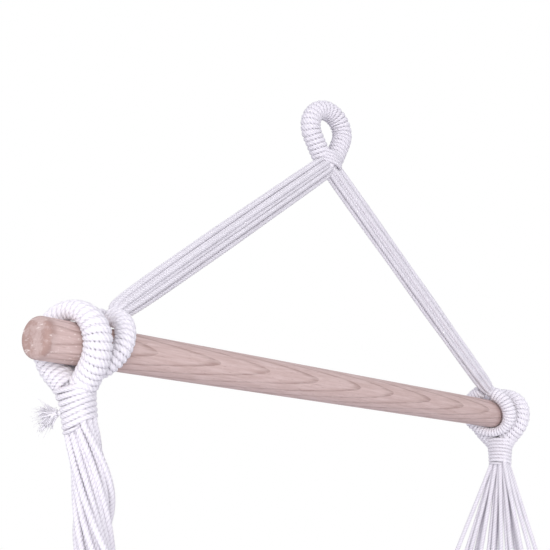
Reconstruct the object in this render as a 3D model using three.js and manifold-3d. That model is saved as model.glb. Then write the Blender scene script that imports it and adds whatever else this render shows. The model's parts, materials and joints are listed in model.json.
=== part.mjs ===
// A hammock chair that hangs from one rope eye: two arms of cotton cord run from the eye to
// rings round a wooden spreader bar, and two outer loops on the bar carry a cotton seat by
// fans of harness cords. Every rope eye is a bundle of cords wrapped tightly with one cord.
//
// Lengths are in millimetres. The origin is where a hook carries the rope eye, +Z is up,
// X runs along the spreader bar, and someone in the chair faces -Y.
import * as THREE from "three";
import { mergeVertices } from "three/addons/utils/BufferGeometryUtils.js";
import Module from "manifold-3d";

const wasm = await Module();
wasm.setup();

// Spreader bar
const BAR_LENGTH = 952;
const BAR_DIAMETER = 40;
const BAR_END_ROUND = 6;

// Cords and the gaps between pieces
const CORD_DIAMETER = 5.4;
const WRAP_THICKNESS = 4.5;
const EDGE_ROPE_DIAMETER = 8;
const SEAT_GAP = 0.3;
const WRAP_GAP = 0.7;
const TURN_GAP = 0.7;

// Top eye, which a hook goes through
const EYE_OPENING_WIDTH = 28;
const EYE_TUBE_DIAMETER = 26.5;
const EYE_LEGS_DROP = 58;
const EYE_TURNS = 16;
const EYE_BARE_LEG = 33;
const EYE_TWIST_DEGREES = 13;

// Neck under the top eye, which widens into half a ball that the arms leave
const KNOT_DIAMETER = 39;
const NECK_DIAMETER = 25;
const NECK_HEIGHT = 12;
const NECK_TURNS = 1.25;
const NECK_WRAP_START = 2.4;

// Arms: each is a ring of cords, tight at its lower end and wider towards the neck
const ARM_DROP = 290;
const ARM_CORDS = 8;
const ARM_TIGHT_SPREAD = 18;
const ARM_WIDE_SPREAD = 26;
const ARM_DEEP_SPREAD = 17;
const ARM_FLARE_SHARES = [
  [0, 0],
  [0.12, 0.6],
  [0.4, 0.9],
  [1, 1],
];

// Rings that carry the bar at the ends of the arms
const RING_TO_LOOP = 35;
const RING_TUBE_DIAMETER = 21;
const RING_CROWN_DIAMETER = 14;
const RING_LEGS_DROP = 37;
const RING_TILT_DEGREES = 20;
const RING_TURNS = 15;
const RING_STEM_DIAMETER = 20;
const RING_STEM_LENGTH = 10;

// Outer loops that carry the harness
const LOOP_TO_BAR_END = 45;
const LOOP_TUBE_DIAMETER = 27;
const LOOP_CROWN_DIAMETER = 20;
const LOOP_LEGS_DROP = 50;
const LOOP_TURNS = 16;
const LOOP_STEM_DIAMETER = 23;
const LOOP_STEM_LENGTH = 27;
const LOOP_NECK_TURNS = 4.5;
const LOOP_WRAP_START = 1;

// Frayed end of the cord that binds the left harness neck
const TAIL_CORD_LENGTH = 5;
const TAIL_TUFT_LENGTH = 20;
const TAIL_TUFT_DIAMETER = 17;
const TAIL_RISE = 15;

// Harness: each side lies in a plane that leans inward from the bar
const HARNESS_LEAN_DEGREES = 9;
const HARNESS_CORDS = 12;
const HARNESS_ROWS = 3;
const HARNESS_PITCH = 7.2;
const LEFT_BUNCH_SHARE = 1;
const RIGHT_BUNCH_SHARE = 0;
const BUNCH_PLACE_SHARE = 0.45;
const BUNCH_LEAN = 40;

// Seat cloth: where its edges hang, measured from the bar in the harness plane
const SEAT_FRONT_REACH = 300;
const SEAT_FRONT_DROP = 870;
const SEAT_MIDDLE_REACH = 80;
const SEAT_MIDDLE_DROP = 1000;
const SEAT_BACK_REACH = 300;
const SEAT_BACK_DROP = 600;
const CLOTH_WIDTH = 850;
const CLOTH_THICKNESS = 3;
const FOLD_DEPTH = 9;
const FOLDS = 4;
const SAG_OUTWARD_SHARE = 0.6;

// How finely the round shapes are cut
const TURN_STEPS = 8;
const ARC_STEPS = 2;
const WRAP_SIDES = 5;
const CORD_SIDES = 6;
const CORD_STEPS = 6;
const CORE_STEPS = 32;
const ROUND_SIDES = 32;
const STEM_SIDES = 16;
const CLOTH_STEPS_ACROSS = 16;
const MERGE_WITHIN = 1e-4;
const NUDGE_SHARE = 1e-3;

const barRadius = BAR_DIAMETER / 2;
const loopReach = BAR_LENGTH / 2 - LOOP_TO_BAR_END;
const ringReach = loopReach - RING_TO_LOOP;
const cordRadius = CORD_DIAMETER / 2;
const wrapRadius = WRAP_THICKNESS / 2;
const edgeRopeRadius = EDGE_ROPE_DIAMETER / 2;
const neckRadius = NECK_DIAMETER / 2;
const ballRadius = KNOT_DIAMETER / 2;
const eyeTwist = THREE.MathUtils.degToRad(EYE_TWIST_DEGREES);
const ringTilt = THREE.MathUtils.degToRad(RING_TILT_DEGREES);
const harnessLean = THREE.MathUtils.degToRad(HARNESS_LEAN_DEGREES);

// The centreline of a rope eye in the XZ plane: a crown about the origin, and two straight legs
// that meet at one point under it. The crown's upper half may be lower than a half circle, and
// the rope is thinner there.
class EyeCurve extends THREE.Curve {
  constructor(radius, height, legsDrop, tubeRadius, crownRadius) {
    super();
    this.radius = radius;
    this.height = height;
    this.legsDrop = legsDrop;
    this.tubeRadius = tubeRadius;
    this.crownRadius = crownRadius;
    this.legAngle = Math.asin(radius / legsDrop);
    this.leg = Math.sqrt(legsDrop ** 2 - radius ** 2);
    this.crown = radius * (Math.PI + 2 * this.legAngle);
  }

  getPoint(share, target = new THREE.Vector3()) {
    const along = share * (2 * this.leg + this.crown);
    const [outward, upward] = [Math.sin(this.legAngle), Math.cos(this.legAngle)];
    if (along < this.leg) {
      return target.set(-along * outward, 0, along * upward - this.legsDrop);
    }
    if (along > this.leg + this.crown) {
      const left = 2 * this.leg + this.crown - along;
      return target.set(left * outward, 0, left * upward - this.legsDrop);
    }
    const angle = Math.PI + this.legAngle - (along - this.leg) / this.radius;
    const rise = Math.sin(angle) > 0 ? this.height : this.radius;
    return target.set(this.radius * Math.cos(angle), 0, rise * Math.sin(angle));
  }

  tubeRadiusAt(point) {
    const lift = Math.max(point.z / this.height, 0);
    return THREE.MathUtils.lerp(this.tubeRadius, this.crownRadius, lift ** 2);
  }
}

// How far a wound cord's flat inner side lies inside its outer radius
const wrapDepth = wrapRadius * (1 + Math.cos(Math.PI / WRAP_SIDES)) + WRAP_GAP;

// The hook point is the top of the eye's opening. The knot is where the arms' lines meet.
const eyeRadius = (EYE_OPENING_WIDTH + EYE_TUBE_DIAMETER) / 2;
const hookToCrownCentre = EYE_OPENING_WIDTH / 2;
const eyeTubeRadius = EYE_TUBE_DIAMETER / 2;
const eyeCurve = new EyeCurve(eyeRadius, eyeRadius, EYE_LEGS_DROP, eyeTubeRadius, eyeTubeRadius);
const eyeBareDrop = EYE_LEGS_DROP - EYE_BARE_LEG * Math.cos(eyeCurve.legAngle);
const neckTopDrop = eyeBareDrop + eyeTubeRadius * Math.sin(eyeCurve.legAngle) + SEAT_GAP;
const knot = new THREE.Vector3(0, 0, -hookToCrownCentre - neckTopDrop - NECK_HEIGHT);
const barCentre = new THREE.Vector3(0, 0, knot.z - ARM_DROP);

// A cord bound round a stem stands out this far
function bindingRadius(stemRadius) {
  return stemRadius / Math.cos(Math.PI / TURN_STEPS) + wrapDepth;
}

const yAxis = new THREE.Vector3(0, 1, 0);

const cotton = { color: 0xe9e6ee, roughness: 0.9, metalness: 0 };
const wood = { color: 0xc9aca2, roughness: 0.6, metalness: 0 };
const cloth = { color: 0xece9ee, roughness: 0.95, metalness: 0 };

const chair = new THREE.Group();

function namedMesh(name, geometry, finish) {
  const mesh = new THREE.Mesh(geometry, new THREE.MeshStandardMaterial(finish));
  mesh.name = name;
  return mesh;
}

function solidOf(geometry) {
  const bare = geometry.index ? geometry.toNonIndexed() : geometry.clone();
  bare.deleteAttribute("normal");
  bare.deleteAttribute("uv");
  const merged = mergeVertices(bare, MERGE_WITHIN);
  const vertProperties = merged.attributes.position.array;
  const triVerts = new Uint32Array(merged.index.array);
  return new wasm.Manifold(new wasm.Mesh({ numProp: 3, vertProperties, triVerts }));
}

function geometryOf(solid) {
  const mesh = solid.getMesh();
  const geometry = new THREE.BufferGeometry();
  geometry.setAttribute("position", new THREE.BufferAttribute(mesh.vertProperties, 3));
  geometry.setIndex(new THREE.BufferAttribute(mesh.triVerts, 1));
  return geometry;
}

// A regular polygon with a corner on its first axis
function polygon(radius, sides) {
  const points = [];
  for (let side = 0; side < sides; side++) {
    const angle = (side / sides) * 2 * Math.PI;
    points.push(new THREE.Vector2(radius * Math.cos(angle), radius * Math.sin(angle)));
  }
  return new THREE.Shape(points);
}

function tubeAlong(curve, radius, sides, steps) {
  return new THREE.ExtrudeGeometry(polygon(radius, sides), {
    steps,
    bevelEnabled: false,
    extrudePath: curve,
  });
}

// A tube through rings of points, each ring in order round the tube, with closed ends
function ringSolid(rings) {
  const sides = rings[0].length;
  const positions = rings.flat().flatMap((point) => point.toArray());
  const index = [];
  for (let ring = 0; ring < rings.length - 1; ring++) {
    for (let side = 0; side < sides; side++) {
      const next = (side + 1) % sides;
      const [a, b] = [ring * sides + side, ring * sides + next];
      const [c, d] = [a + sides, b + sides];
      index.push(a, b, c, b, d, c);
    }
  }
  const last = (rings.length - 1) * sides;
  for (let side = 1; side < sides - 1; side++) {
    index.push(0, side + 1, side);
    index.push(last, last + side, last + side + 1);
  }
  const geometry = new THREE.BufferGeometry();
  geometry.setAttribute("position", new THREE.Float32BufferAttribute(positions, 3));
  geometry.setIndex(index);
  return geometry;
}

// The least distance between corners of a wound cord that lie over half a turn apart
function leastGap(rings) {
  let least = Infinity;
  for (let i = 0; i < rings.length; i++) {
    for (let j = i + Math.ceil(TURN_STEPS / 2); j < rings.length; j++) {
      for (const a of rings[i]) {
        for (const b of rings[j]) least = Math.min(least, a.distanceTo(b));
      }
    }
  }
  return least;
}

// A cord wound round a core that follows a curve in the XZ plane, from one distance along it
// to another. Each turn is as wide as its neighbours leave room for, so the turns are drawn
// together inside a bend. Both ends run straight on for one cord thickness.
function woundCord(name, curve, from, to, turns, radiusAt) {
  const total = curve.getLength();
  const pitch = (to - from) / turns;
  const outwardAt = (along) => {
    const tangent = curve.getTangentAt(THREE.MathUtils.clamp(along / total, 0, 1));
    return tangent.cross(yAxis);
  };
  const radialAt = (along, phase) =>
    outwardAt(along).multiplyScalar(Math.cos(phase)).addScaledVector(yAxis, Math.sin(phase));
  const place = (along, phase) => {
    const centre = curve.getPointAt(THREE.MathUtils.clamp(along / total, 0, 1));
    return centre.addScaledVector(radialAt(along, phase), radiusAt(centre) - wrapRadius);
  };

  const steps = turns * TURN_STEPS;
  const stations = [];
  for (let step = 0; step <= steps; step++) {
    const along = from + ((to - from) * step) / steps;
    const phase = (step / TURN_STEPS) * 2 * Math.PI;
    const room = place(along - pitch / 2, phase).distanceTo(place(along + pitch / 2, phase));
    stations.push({
      centre: place(along, phase),
      radial: radialAt(along, phase),
      halfWidth: (room - TURN_GAP) / 2,
    });
  }
  const endRun = (at, towards) => ({
    centre: at.centre
      .clone()
      .addScaledVector(at.centre.clone().sub(towards.centre).normalize(), WRAP_THICKNESS),
    radial: at.radial,
    halfWidth: at.halfWidth,
  });
  stations.unshift(endRun(stations[0], stations[1]));
  stations.push(endRun(stations.at(-1), stations.at(-2)));

  const rings = stations.map(({ centre, radial, halfWidth }, i) => {
    const before = stations[Math.max(i - 1, 0)].centre;
    const after = stations[Math.min(i + 1, stations.length - 1)].centre;
    const forward = after.clone().sub(before).normalize();
    const across = new THREE.Vector3().crossVectors(forward, radial).normalize();
    const out = new THREE.Vector3().crossVectors(across, forward);
    const ring = [];
    for (let side = 0; side < WRAP_SIDES; side++) {
      const angle = (side / WRAP_SIDES) * 2 * Math.PI;
      ring.push(
        centre
          .clone()
          .addScaledVector(out, wrapRadius * Math.cos(angle))
          .addScaledVector(across, halfWidth * Math.sin(angle)),
      );
    }
    return ring;
  });
  console.log(name + ": least gap between turns " + leastGap(rings).toFixed(2) + " mm");
  return ringSolid(rings);
}

// A wound eye's turns stop this far along each leg from where the legs meet
function wrappedEye(name, curve, turns, bareLeg) {
  const bare = bareLeg + wrapRadius;
  return woundCord(name, curve, bare, curve.getLength() - bare, turns, (point) => curve.tubeRadiusAt(point));
}

// The core's legs stop where they would run into each other
function legTrim(curve) {
  return (curve.tubeRadius - wrapDepth + SEAT_GAP) / Math.tan(curve.legAngle);
}

function eyeCoreSolid(curve) {
  const trim = legTrim(curve) / curve.getLength();
  const rings = [];
  for (let step = 0; step <= CORE_STEPS; step++) {
    const share = trim + (step / CORE_STEPS) * (1 - 2 * trim);
    const centre = curve.getPointAt(share);
    const outward = curve.getTangentAt(share).cross(yAxis);
    const radius = curve.tubeRadiusAt(centre) - wrapDepth;
    const ring = [];
    for (let side = 0; side < TURN_STEPS; side++) {
      const angle = (side / TURN_STEPS) * 2 * Math.PI;
      ring.push(
        centre
          .clone()
          .addScaledVector(outward, radius * Math.cos(angle))
          .addScaledVector(yAxis, -radius * Math.sin(angle)),
      );
    }
    rings.push(ring);
  }
  return solidOf(ringSolid(rings));
}

// An eye's core with the stem below it, and a round hub where the legs run into the stem
function stemmedCore(curve, stemRadius, stemLength, stemTurn) {
  const hubRadius = Math.max(legTrim(curve) + wrapRadius / 2, curve.tubeRadius - wrapDepth);
  const hub = new THREE.SphereGeometry(hubRadius, STEM_SIDES, TURN_STEPS);
  hub.rotateX(Math.PI / 2);
  const stem = new THREE.CylinderGeometry(stemRadius, stemRadius, stemLength, STEM_SIDES);
  stem.rotateX(Math.PI / 2);
  stem.translate(0, 0, -stemLength / 2);
  stem.applyQuaternion(stemTurn);
  const meeting = new THREE.Vector3(0, 0, -curve.legsDrop);
  const below = [hub, stem].map((shape) => solidOf(shape.translate(...meeting)));
  return eyeCoreSolid(curve).add(below[0]).add(below[1]);
}

// A cord bound round a straight stem that runs down -Z from its start
function boundNeck(name, stemRadius, start, turns) {
  const height = turns * (WRAP_THICKNESS + TURN_GAP);
  const top = new THREE.Vector3(0, 0, -start);
  const bottom = new THREE.Vector3(0, 0, -start - height);
  const stem = new THREE.LineCurve3(top, bottom);
  return woundCord(name, stem, 0, height, turns, () => bindingRadius(stemRadius));
}

function buildTopEye() {
  const eye = new THREE.Group();
  eye.position.z = -hookToCrownCentre;
  eye.rotation.z = -eyeTwist;
  chair.add(eye);

  // The core is cut level, just above the neck's top
  const cut = new THREE.BoxGeometry(EYE_LEGS_DROP * 2, EYE_LEGS_DROP * 2, EYE_LEGS_DROP);
  cut.translate(0, 0, SEAT_GAP - neckTopDrop - EYE_LEGS_DROP / 2);
  const core = eyeCoreSolid(eyeCurve).subtract(solidOf(cut));
  eye.add(namedMesh("top_eye_core", geometryOf(core), cotton));
  const wrap = wrappedEye("top_eye_wrap", eyeCurve, EYE_TURNS, EYE_BARE_LEG);
  eye.add(namedMesh("top_eye_wrap", wrap, cotton));
}

// The neck is the eye's bundle below its legs: a stem on half a ball round the knot
function buildTopNeck() {
  const neck = new THREE.Group();
  neck.position.copy(knot);
  chair.add(neck);
  const outline = new THREE.Path();
  outline.moveTo(0, -ballRadius);
  outline.absarc(0, 0, ballRadius, -Math.PI / 2, 0);
  outline.lineTo(neckRadius, 0);
  outline.lineTo(neckRadius, NECK_HEIGHT);
  outline.lineTo(0, NECK_HEIGHT);
  const bundle = new THREE.LatheGeometry(outline.getPoints(ARC_STEPS * 2), STEM_SIDES);
  bundle.rotateX(Math.PI / 2);
  neck.add(namedMesh("top_neck_bundle", bundle, cotton));
  const wrap = boundNeck("top_neck_wrap", neckRadius, NECK_WRAP_START - NECK_HEIGHT, NECK_TURNS);
  neck.add(namedMesh("top_neck_wrap", wrap, cotton));
}

function buildBar() {
  const half = BAR_LENGTH / 2;
  const flat = barRadius - BAR_END_ROUND;
  const outline = new THREE.Path();
  outline.moveTo(0, -half);
  outline.lineTo(flat, -half);
  outline.absarc(flat, -half + BAR_END_ROUND, BAR_END_ROUND, -Math.PI / 2, 0);
  outline.lineTo(barRadius, half - BAR_END_ROUND);
  outline.absarc(flat, half - BAR_END_ROUND, BAR_END_ROUND, 0, Math.PI / 2);
  outline.lineTo(0, half);
  const bar = new THREE.LatheGeometry(outline.getPoints(ARC_STEPS), ROUND_SIDES);
  bar.rotateZ(-Math.PI / 2);
  const mesh = namedMesh("spreader_bar", bar, wood);
  mesh.position.copy(barCentre);
  chair.add(mesh);
}

// A point on the bar's axis, so far to one side of its middle
function barPoint(sideways) {
  return new THREE.Vector3(barCentre.x + sideways, barCentre.y, barCentre.z);
}

// One side of the suspension: a ring round the bar, and the arm from it up to the knot
function buildArm(side, sign) {
  const tubeRadius = RING_TUBE_DIAMETER / 2;
  const crownRadius = RING_CROWN_DIAMETER / 2;
  const centreRadius = (barRadius + SEAT_GAP + tubeRadius) / Math.cos(ringTilt);
  const height = (barRadius + SEAT_GAP + crownRadius) / Math.cos(ringTilt);
  const curve = new EyeCurve(centreRadius, height, RING_LEGS_DROP, tubeRadius, crownRadius);
  const ringCentre = barPoint(sign * ringReach);
  const towardsNeck = new THREE.Vector3(-sign * Math.sin(ringTilt), 0, Math.cos(ringTilt));

  // The ring's own frame has its crown under the bar and its sides along Y
  const ring = new THREE.Group();
  ring.position.copy(ringCentre);
  ring.rotation.set(Math.PI, -sign * ringTilt, -Math.PI / 2, "YXZ");
  chair.add(ring);

  // The stem leaves the ring's top along the straight line to the knot
  const stemStart = ringCentre.clone().addScaledVector(towardsNeck, RING_LEGS_DROP);
  const alongArm = knot.clone().sub(stemStart).normalize();
  const stem = new THREE.Group();
  stem.position.copy(stemStart);
  stem.quaternion.setFromUnitVectors(new THREE.Vector3(0, 0, -1), alongArm);
  chair.add(stem);

  const stemRadius = RING_STEM_DIAMETER / 2;
  const stemTurn = ring.quaternion.clone().invert().multiply(stem.quaternion);
  const core = stemmedCore(curve, stemRadius, RING_STEM_LENGTH, stemTurn);
  ring.add(namedMesh(side + "_ring_core", geometryOf(core), cotton));
  const wrapName = side + "_ring_wrap";
  const bareLeg = stemRadius + TURN_GAP;
  const wrap = wrappedEye(wrapName, curve, RING_TURNS, bareLeg);
  ring.add(namedMesh(wrapName, wrap, cotton));

  // The cords run from the stem's end to the half ball, each at its own place in the bundle
  const lower = stemStart.clone().addScaledVector(alongArm, RING_STEM_LENGTH + SEAT_GAP);
  const across = new THREE.Vector3().crossVectors(yAxis, alongArm);
  for (let cord = 0; cord < ARM_CORDS; cord++) {
    const angle = ((cord + 1 / 2) / ARM_CORDS) * 2 * Math.PI;
    const offsetAt = (flare) => {
      const wide = THREE.MathUtils.lerp(ARM_TIGHT_SPREAD, ARM_WIDE_SPREAD, flare);
      const deep = THREE.MathUtils.lerp(ARM_TIGHT_SPREAD, ARM_DEEP_SPREAD, flare);
      const offset = across.clone().multiplyScalar((wide / 2) * Math.cos(angle));
      return offset.addScaledVector(yAxis, (deep / 2) * Math.sin(angle));
    };
    const nearest = Math.max(offsetAt(1).length() - cordRadius, 0);
    const reach = Math.sqrt((ballRadius + SEAT_GAP) ** 2 - nearest ** 2);
    const upper = knot.clone().addScaledVector(alongArm, -reach);
    const points = ARM_FLARE_SHARES.map(([place, flare]) =>
      lower.clone().lerp(upper, place).add(offsetAt(flare)),
    );
    const path = new THREE.CatmullRomCurve3(points);
    const name = side + "_arm_cord_" + (cord + 1);
    chair.add(namedMesh(name, tubeAlong(path, cordRadius, CORD_SIDES, CORD_STEPS), cotton));
  }
}

// The seat's side edge in the harness plane, from the front to the top of the back. The plane's
// own frame has its origin on the bar's axis, and its height runs along the leaning plane.
const edgeFront = new THREE.Vector3(0, -SEAT_FRONT_REACH, -SEAT_FRONT_DROP);
const edgeMiddle = new THREE.Vector3(0, -SEAT_MIDDLE_REACH, -SEAT_MIDDLE_DROP);
const edgeBack = new THREE.Vector3(0, SEAT_BACK_REACH, -SEAT_BACK_DROP);
const edgeBend = edgeMiddle
  .clone()
  .multiplyScalar(2)
  .sub(edgeFront.clone().add(edgeBack).divideScalar(2));
const edgeCurve = new THREE.QuadraticBezierCurve3(edgeFront, edgeBend, edgeBack);

// Each harness cord meets the edge at one of its steps
const edgeSteps = HARNESS_CORDS * 2;

function harnessPlane(sign) {
  const plane = new THREE.Group();
  plane.position.copy(barPoint(sign * loopReach));
  plane.rotation.y = sign * harnessLean;
  return plane;
}

// One harness cord, from its place in the neck to the rope along the seat's edge
function harnessCordPath(index, bunchShare) {
  const column = Math.floor(index / HARNESS_ROWS);
  const row = index % HARNESS_ROWS;
  const columns = Math.ceil(HARNESS_CORDS / HARNESS_ROWS);
  const start = new THREE.Vector3(
    ((HARNESS_ROWS - 1) / 2 - row) * HARNESS_PITCH,
    (column - (columns - 1) / 2) * HARNESS_PITCH,
    -LOOP_LEGS_DROP - LOOP_STEM_LENGTH,
  );
  const place = (index + 1 / 2) / HARNESS_CORDS;
  const target = edgeCurve.getPointAt(place);
  const bend = start.clone().lerp(target, BUNCH_PLACE_SHARE);
  bend.y = start.y + (bend.y - start.y) * (1 - bunchShare) - BUNCH_LEAN * bunchShare;
  const leaving = bend.clone().sub(start).normalize();
  const tilt = Math.sqrt(1 - leaving.z ** 2);
  start.addScaledVector(leaving, (SEAT_GAP + cordRadius * tilt) / -leaving.z);
  const arriving = bend.clone().sub(target).normalize();
  const slant = Math.abs(arriving.dot(edgeCurve.getTangentAt(place)));
  const square = Math.sqrt(1 - slant ** 2);
  const stop = (edgeRopeRadius + SEAT_GAP * 2 + cordRadius * slant) / square;
  return new THREE.QuadraticBezierCurve3(start, bend, target.addScaledVector(arriving, stop));
}

function buildHarness(side, sign, bunchShare) {
  const plane = harnessPlane(sign);
  chair.add(plane);
  const tubeRadius = LOOP_TUBE_DIAMETER / 2;
  const crownRadius = LOOP_CROWN_DIAMETER / 2;
  const centreRadius = (barRadius + SEAT_GAP + tubeRadius) / Math.cos(harnessLean);
  const height = (barRadius + SEAT_GAP + crownRadius) / Math.cos(harnessLean);
  const curve = new EyeCurve(centreRadius, height, LOOP_LEGS_DROP, tubeRadius, crownRadius);
  const stemRadius = LOOP_STEM_DIAMETER / 2;

  // The loop's own frame has its sides along Y
  const loop = new THREE.Group();
  loop.rotation.z = Math.PI / 2;
  plane.add(loop);
  const stemTurn = new THREE.Quaternion();
  const core = stemmedCore(curve, stemRadius, LOOP_STEM_LENGTH, stemTurn);
  loop.add(namedMesh(side + "_loop_core", geometryOf(core), cotton));
  const wrapName = side + "_loop_wrap";
  const bareLeg = (tubeRadius + TURN_GAP) / Math.tan(curve.legAngle);
  const wrap = wrappedEye(wrapName, curve, LOOP_TURNS, bareLeg);
  loop.add(namedMesh(wrapName, wrap, cotton));
  const neckName = side + "_loop_neck_wrap";
  const binding = boundNeck(neckName, stemRadius, LOOP_LEGS_DROP + LOOP_WRAP_START, LOOP_NECK_TURNS);
  loop.add(namedMesh(neckName, binding, cotton));

  for (let index = 0; index < HARNESS_CORDS; index++) {
    const path = harnessCordPath(index, bunchShare);
    const steps = bunchShare > 0 ? CORD_STEPS : 1;
    const name = side + "_harness_cord_" + String(index + 1).padStart(2, "0");
    plane.add(namedMesh(name, tubeAlong(path, cordRadius, CORD_SIDES, steps), cotton));
  }
  const rope = tubeAlong(edgeCurve, edgeRopeRadius, TURN_STEPS, edgeSteps);
  plane.add(namedMesh(side + "_edge_rope", rope, cotton));
}

// The frayed tail leaves the side of the left neck's binding, away from the chair's middle
function buildTail() {
  const outline = [
    [0, 0],
    [cordRadius, 0],
    [cordRadius, TAIL_CORD_LENGTH],
    [TAIL_TUFT_DIAMETER / 2, TAIL_CORD_LENGTH + TAIL_TUFT_LENGTH / 2],
    [TAIL_TUFT_DIAMETER / 3, TAIL_CORD_LENGTH + TAIL_TUFT_LENGTH],
    [0, TAIL_CORD_LENGTH + TAIL_TUFT_LENGTH],
  ].map(([radius, along]) => new THREE.Vector2(radius, along));
  const tail = new THREE.LatheGeometry(outline, TURN_STEPS);
  tail.rotateZ(Math.PI / 2);
  tail.translate(-bindingRadius(LOOP_STEM_DIAMETER / 2) - SEAT_GAP, 0, 0);
  const mesh = namedMesh("left_loop_tail", tail, cotton);
  mesh.position.z = -LOOP_LEGS_DROP - LOOP_STEM_LENGTH + TAIL_RISE;
  mesh.rotation.z = -Math.PI / 4;
  const plane = harnessPlane(-1);
  plane.add(mesh);
  chair.add(plane);
}

// A point of the seat cloth's middle surface. Across runs from -1 to 1 between the edge ropes,
// and along from 0 at the front to 1 at the top of the back.
function clothPoint(across, along) {
  const edge = edgeCurve.getPointAt(along);
  const tangent = edgeCurve.getTangentAt(along);
  const lean = new THREE.Euler(0, harnessLean, 0);
  edge.applyEuler(lean);
  const halfSpan = loopReach + edge.x;
  const slack = Math.max((CLOTH_WIDTH / (2 * halfSpan)) ** 2 - 1, 0);
  const sag = halfSpan * Math.sqrt((3 / 4) * slack);
  const outward = new THREE.Vector3(0, tangent.z, -tangent.y).normalize();
  const hang = outward.multiplyScalar(SAG_OUTWARD_SHARE);
  hang.z -= 1 - SAG_OUTWARD_SHARE;
  hang.normalize();
  const depth = sag * (1 - across ** 2);
  const fold = FOLD_DEPTH * Math.cos(FOLDS * Math.PI * across) * (1 - across ** 2);
  return new THREE.Vector3(
    barCentre.x + across * halfSpan,
    barCentre.y + edge.y + hang.y * (depth + fold),
    barCentre.z + edge.z + hang.z * (depth + fold),
  );
}

function clothNormal(across, along) {
  const [inner, outer] = [across - NUDGE_SHARE, across + NUDGE_SHARE];
  const right = clothPoint(outer, along).sub(clothPoint(inner, along));
  const ahead = Math.min(along + NUDGE_SHARE, 1);
  const behind = Math.max(along - NUDGE_SHARE, 0);
  const back = clothPoint(across, ahead).sub(clothPoint(across, behind));
  return right.cross(back).normalize();
}

// The seat cloth starts beside the edge ropes, inside them
function buildCloth() {
  const shape = new THREE.BoxGeometry(2, 1, 1, CLOTH_STEPS_ACROSS, edgeSteps, 1);
  const position = shape.attributes.position;
  const reach = edgeRopeRadius + SEAT_GAP * 2;
  for (let i = 0; i < position.count; i++) {
    const along = position.getY(i) + 1 / 2;
    const sideways = Math.sign(position.getX(i)) || 1;
    const start = clothPoint(sideways, along);
    const near = clothPoint(sideways * (1 - NUDGE_SHARE), along);
    const inset = (reach * NUDGE_SHARE) / start.distanceTo(near);
    const across = position.getX(i) * (1 - inset);
    const point = clothPoint(across, along);
    point.addScaledVector(clothNormal(across, along), position.getZ(i) * CLOTH_THICKNESS);
    position.setXYZ(i, point.x, point.y, point.z);
  }
  chair.add(namedMesh("seat_cloth", shape, cloth));
}

buildTopEye();
buildTopNeck();
buildBar();
buildArm("left", -1);
buildArm("right", 1);
buildHarness("left", -1, LEFT_BUNCH_SHARE);
buildHarness("right", 1, RIGHT_BUNCH_SHARE);
buildTail();
buildCloth();

export default chair;
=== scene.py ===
# The looks of a hammock chair that hangs from one rope eye: cotton cords, a beech bar and a cotton seat.
# Lengths are in metres. The origin is where a hook carries the eye, and X runs along the bar.
import json
import math

import bmesh
import bpy
import numpy as np
from mathutils import Euler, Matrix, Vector


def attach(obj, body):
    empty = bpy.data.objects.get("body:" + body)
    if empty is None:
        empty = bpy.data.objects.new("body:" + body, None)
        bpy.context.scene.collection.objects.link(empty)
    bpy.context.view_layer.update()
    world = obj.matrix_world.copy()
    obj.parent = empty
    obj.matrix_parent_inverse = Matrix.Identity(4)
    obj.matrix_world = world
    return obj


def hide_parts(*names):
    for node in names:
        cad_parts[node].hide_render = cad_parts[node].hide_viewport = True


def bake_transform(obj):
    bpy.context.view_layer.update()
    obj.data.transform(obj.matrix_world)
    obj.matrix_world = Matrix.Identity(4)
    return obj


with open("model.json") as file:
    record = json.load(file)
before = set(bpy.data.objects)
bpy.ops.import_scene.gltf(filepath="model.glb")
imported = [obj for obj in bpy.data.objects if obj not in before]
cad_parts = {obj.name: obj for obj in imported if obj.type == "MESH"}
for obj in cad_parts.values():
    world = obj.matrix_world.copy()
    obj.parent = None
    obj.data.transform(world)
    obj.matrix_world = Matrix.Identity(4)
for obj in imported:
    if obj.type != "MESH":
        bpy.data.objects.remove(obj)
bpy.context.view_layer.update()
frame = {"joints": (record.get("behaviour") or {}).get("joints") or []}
joints = {joint["name"]: joint for joint in frame["joints"]}
knot = np.array(joints["swing"]["pos_m"])
bar_middle = np.array(joints["bar_roll"]["pos_m"])

X_WAY = np.array([1.0, 0.0, 0.0])
Y_WAY = np.array([0.0, 1.0, 0.0])

# Bar
BAR_LENGTH = 0.952
BAR_RADIUS = 0.02
BAR_END_ROUND = 0.006
LOOP_REACH = 0.431
RING_REACH = 0.396
BAR_CLEARANCE = 0.0003

# Beech grain. The growth rings lie round a heart in front of the bar
HEART_FORWARD = 0.034
HEART_DROP = 0.351
RINGS_PER_METRE = 120
RINGS_PER_METRE_ALONG = 11.5
RINGS_PHASE = 2.78
END_GRAIN_FROM = 0.462
END_GRAIN_TO = 0.473
# Where the pale scuff marks grow stronger towards the bar's ends, as a painted highlight
END_HIGHLIGHT_FROM = 0.4
END_HIGHLIGHT_TO = 0.45

# Cords
CORD_DIAMETER = 0.006
CORD_LAY = 0.0125
CORD_PLIES = 3
SIDES_PER_PLY = 4
STEPS_PER_LAY = 9
PLY_GROOVE_SHARE = 0.2
CORD_PHASE_STEP = 1.7
ROUTE_STEP = 0.004
WOBBLE = 0.00035
WOBBLE_LENGTH = 0.03
WOBBLE_PHASE_STEP = 2.4

# Windings, and the bundles inside them
WRAP_DEPTH = 0.0029
WRAP_GROOVE_SHARE = 0.22
TURN_OVERLAP_SHARE = 1.14
TUCK_DEPTH = 0.003
TUCK_ANGLE = 1.2
CORE_INSET = 0.0042
CORE_LAY = 0.09
CORE_PLIES = 6

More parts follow.
